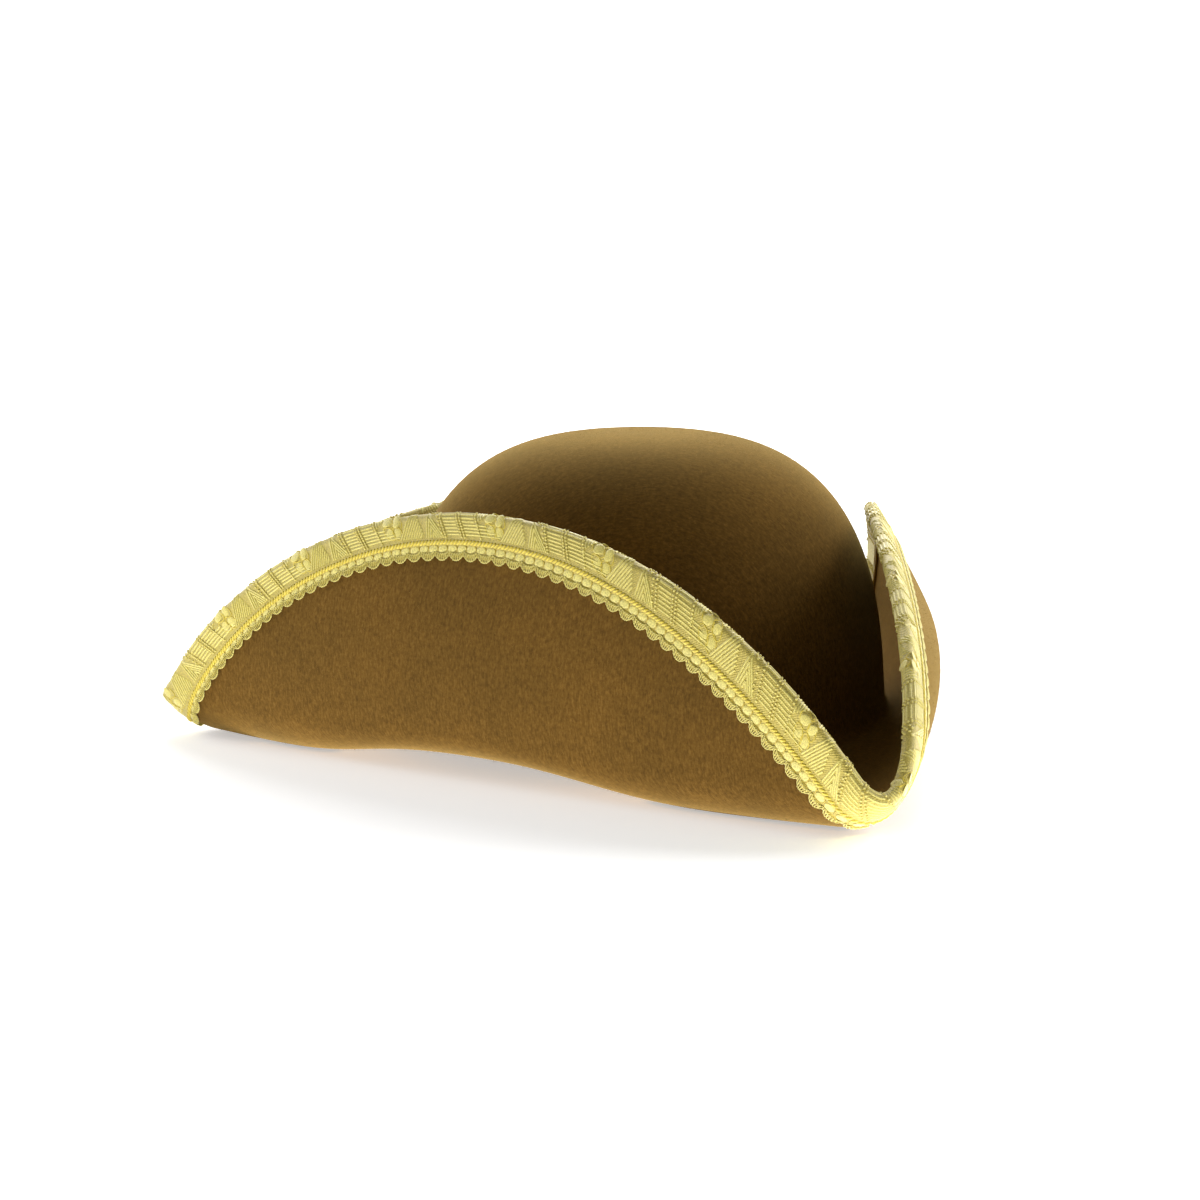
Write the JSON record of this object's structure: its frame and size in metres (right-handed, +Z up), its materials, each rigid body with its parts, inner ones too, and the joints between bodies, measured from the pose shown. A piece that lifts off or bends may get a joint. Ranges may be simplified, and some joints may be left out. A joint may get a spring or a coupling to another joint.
{
  "type": "tricorn hat",
  "caption": "Tricorn hat with a hollow rounded felt crown, a brim turned up on its sides and back into corners, and a woven galloon bound over the brim's edge.",
  "frame": {"origin": "middle of the hat's bounding box, on the surface that it rests on", "axes": "+Z up through the crown, -Y towards the front corner, +X towards the wearer's left, longest across the back corners along X"},
  "size_m": [0.3646, 0.3242, 0.1285],
  "materials": {
    "felt": "brown wool felt with a short nap",
    "galloon": "gold woven ribbon with a raised pattern and a looped edge"
  },
  "bodies": {
    "root": {"felt_body": "felt", "edge_galloon": "galloon"}
  },
  "joints": []
}
